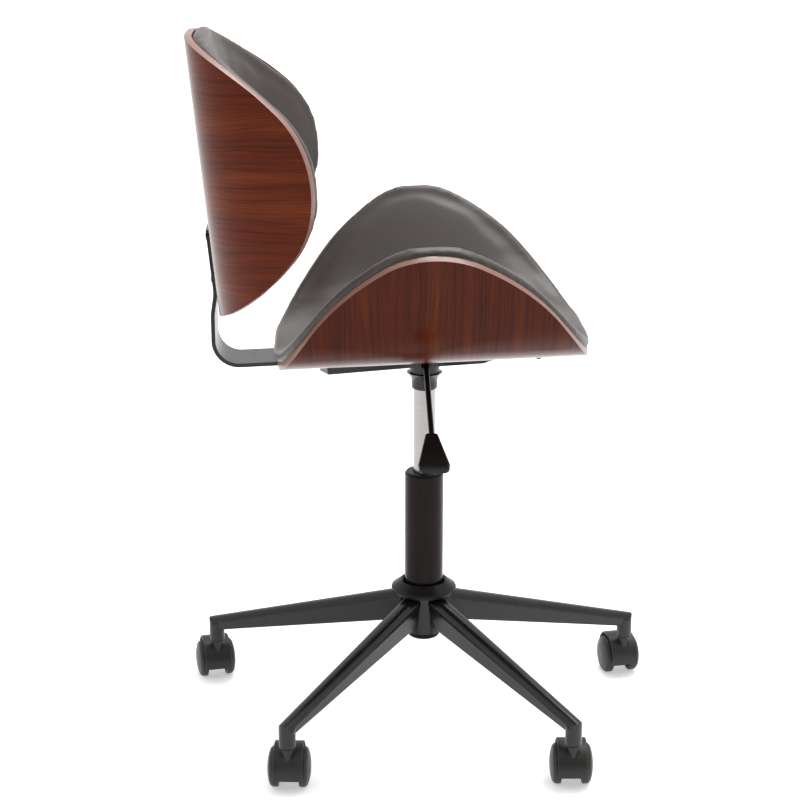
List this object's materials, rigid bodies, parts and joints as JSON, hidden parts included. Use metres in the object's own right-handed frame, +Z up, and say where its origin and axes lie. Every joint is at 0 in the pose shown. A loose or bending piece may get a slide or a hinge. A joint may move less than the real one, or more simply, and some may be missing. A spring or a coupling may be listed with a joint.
{
  "type": "bentwood swivel desk chair",
  "caption": "Swivel desk chair with moulded plywood seat and back shells, fitted pads, gas lift, bracket-held back and a five-legged caster base.",
  "frame": {"origin": "on the column axis at floor level, under the middle of the hub", "axes": "+Z up along the column, the sitter faces -Y, +X is the sitter's left"},
  "size_m": [0.6003, 0.6171, 0.9004],
  "materials": {
    "black_paint": "satin black powder coat",
    "column_paint": "satin black-brown lacquer",
    "black_steel": "black oxide",
    "black_plastic": "fine satin texture",
    "caster_plastic": "moulded nylon, satin",
    "bare_steel": "zinc plated",
    "cylinder_chrome": "brushed chrome plate",
    "walnut_ply": "dark red-brown veneer under satin lacquer",
    "grey_leather": "smooth coated upholstery, dark taupe grey"
  },
  "bodies": {
    "base": {"hub_tube": "black_paint", "hub_cover": "black_plastic", "leg_1": "black_paint", "leg_2": "black_paint", "leg_3": "black_paint", "leg_4": "black_paint", "leg_5": "black_paint", "caster_sleeves": "caster_plastic", "caster_stems": "bare_steel", "outer_column": "column_paint", "guide_bushing": "black_plastic", "lower_bearing_washer": "bare_steel", "ball_cage": "caster_plastic", "bearing_balls": "bare_steel"},
    "piston_assembly": {"piston_rod": "bare_steel", "piston": "caster_plastic", "retaining_clip": "bare_steel"},
    "seat": {"gas_cylinder": "cylinder_chrome", "cylinder_socket": "black_paint", "mechanism_plate": "black_paint", "lever_pivot": "bare_steel", "seat_shell": "walnut_ply", "seat_pad": "grey_leather", "seat_bolts": "black_steel", "seat_tee_nuts": "bare_steel", "front_screws": "black_steel", "back_bracket": "black_paint", "bracket_bolts": "black_steel", "back_shell": "walnut_ply", "back_pad": "grey_leather", "back_screws": "black_steel", "back_tee_nuts": "bare_steel"},
    "lever": {"lever_rod": "black_steel", "lever_paddle": "black_plastic"},
    "release_button": {"release_pin": "cylinder_chrome"},
    "caster_1": {"caster_1_hood": "caster_plastic", "caster_1_axle": "bare_steel"},
    "caster_1_wheel_left": {"caster_1_wheel_left": "caster_plastic"},
    "caster_1_wheel_right": {"caster_1_wheel_right": "caster_plastic"},
    "caster_2": {"caster_2_hood": "caster_plastic", "caster_2_axle": "bare_steel"},
    "caster_2_wheel_left": {"caster_2_wheel_left": "caster_plastic"},
    "caster_2_wheel_right": {"caster_2_wheel_right": "caster_plastic"},
    "caster_3": {"caster_3_hood": "caster_plastic", "caster_3_axle": "bare_steel"},
    "caster_3_wheel_left": {"caster_3_wheel_left": "caster_plastic"},
    "caster_3_wheel_right": {"caster_3_wheel_right": "caster_plastic"},
    "caster_4": {"caster_4_hood": "caster_plastic", "caster_4_axle": "bare_steel"},
    "caster_4_wheel_left": {"caster_4_wheel_left": "caster_plastic"},
    "caster_4_wheel_right": {"caster_4_wheel_right": "caster_plastic"},
    "caster_5": {"caster_5_hood": "caster_plastic", "caster_5_axle": "bare_steel"},
    "caster_5_wheel_left": {"caster_5_wheel_left": "caster_plastic"},
    "caster_5_wheel_right": {"caster_5_wheel_right": "caster_plastic"}
  },
  "joints": [
    {"name": "seat_swivel", "type": "hinge", "parent": "base", "child": "piston_assembly", "pos_m": [0, 0, 0.1], "axis": [0, 0, 1], "continuous": true},
    {"name": "seat_lift", "type": "slide", "parent": "piston_assembly", "child": "seat", "axis": [0, 0, 1], "range_m": [-0.1, 0]},
    {"name": "lever_lift", "type": "hinge", "parent": "seat", "child": "lever", "pos_m": [-0.013, 0, 0.485], "axis": [0, 1, 0], "range_deg": [0, 8], "stiffness_Nm_per_rad": 1.2, "springref_deg": -20.05},
    {"name": "button_press", "type": "slide", "parent": "seat", "child": "release_button", "axis": [0, 0, -1], "range_m": [0, 0.0022], "stiffness_N_per_m": 300, "springref_m": -0.003},
    {"name": "caster_1_swivel", "type": "hinge", "parent": "base", "child": "caster_1", "pos_m": [0.29497, -0.00412, 0.05], "axis": [0, 0, 1], "continuous": true},
    {"name": "caster_1_roll_left", "type": "hinge", "parent": "caster_1", "child": "caster_1_wheel_left", "pos_m": [0.31577, -0.0012, 0.025], "axis": [-0.1392, 0.9903, 0], "continuous": true},
    {"name": "caster_1_roll_right", "type": "hinge", "parent": "caster_1", "child": "caster_1_wheel_right", "pos_m": [0.31577, -0.0012, 0.025], "axis": [-0.1392, 0.9903, 0], "continuous": true},
    {"name": "caster_2_swivel", "type": "hinge", "parent": "base", "child": "caster_2", "pos_m": [0.09507, 0.27926, 0.05], "axis": [0, 0, 1], "continuous": true},
    {"name": "caster_2_roll_left", "type": "hinge", "parent": "caster_2", "child": "caster_2_wheel_left", "pos_m": [0.11561, 0.28363, 0.025], "axis": [-0.2079, 0.9781, 0], "continuous": true},
    {"name": "caster_2_roll_right", "type": "hinge", "parent": "caster_2", "child": "caster_2_wheel_right", "pos_m": [0.11561, 0.28363, 0.025], "axis": [-0.2079, 0.9781, 0], "continuous": true},
    {"name": "caster_3_swivel", "type": "hinge", "parent": "base", "child": "caster_3", "pos_m": [-0.23622, 0.17671, 0.05], "axis": [0, 0, 1], "continuous": true},
    {"name": "caster_3_roll_left", "type": "hinge", "parent": "caster_3", "child": "caster_3_wheel_left", "pos_m": [-0.21527, 0.17525, 0.025], "axis": [0.0698, 0.9976, 0], "continuous": true},
    {"name": "caster_3_roll_right", "type": "hinge", "parent": "caster_3", "child": "caster_3_wheel_right", "pos_m": [-0.21527, 0.17525, 0.025], "axis": [0.0698, 0.9976, 0], "continuous": true},
    {"name": "caster_4_swivel", "type": "hinge", "parent": "base", "child": "caster_4", "pos_m": [-0.24106, -0.17005, 0.05], "axis": [0, 0, 1], "continuous": true},
    {"name": "caster_4_roll_left", "type": "hinge", "parent": "caster_4", "child": "caster_4_wheel_left", "pos_m": [-0.22007, -0.17078, 0.025], "axis": [0.0349, 0.9994, 0], "continuous": true},
    {"name": "caster_4_roll_right", "type": "hinge", "parent": "caster_4", "child": "caster_4_wheel_right", "pos_m": [-0.22007, -0.17078, 0.025], "axis": [0.0349, 0.9994, 0], "continuous": true},
    {"name": "caster_5_swivel", "type": "hinge", "parent": "base", "child": "caster_5", "pos_m": [0.08723, -0.28181, 0.05], "axis": [0, 0, 1], "continuous": true},
    {"name": "caster_5_roll_left", "type": "hinge", "parent": "caster_5", "child": "caster_5_wheel_left", "pos_m": [0.10785, -0.2778, 0.025], "axis": [-0.1908, 0.9816, 0], "continuous": true},
    {"name": "caster_5_roll_right", "type": "hinge", "parent": "caster_5", "child": "caster_5_wheel_right", "pos_m": [0.10785, -0.2778, 0.025], "axis": [-0.1908, 0.9816, 0], "continuous": true}
  ],
  "couplings": [
    {"joint": "button_press", "follows": "lever_lift", "m_per_rad": 0.013}
  ]
}
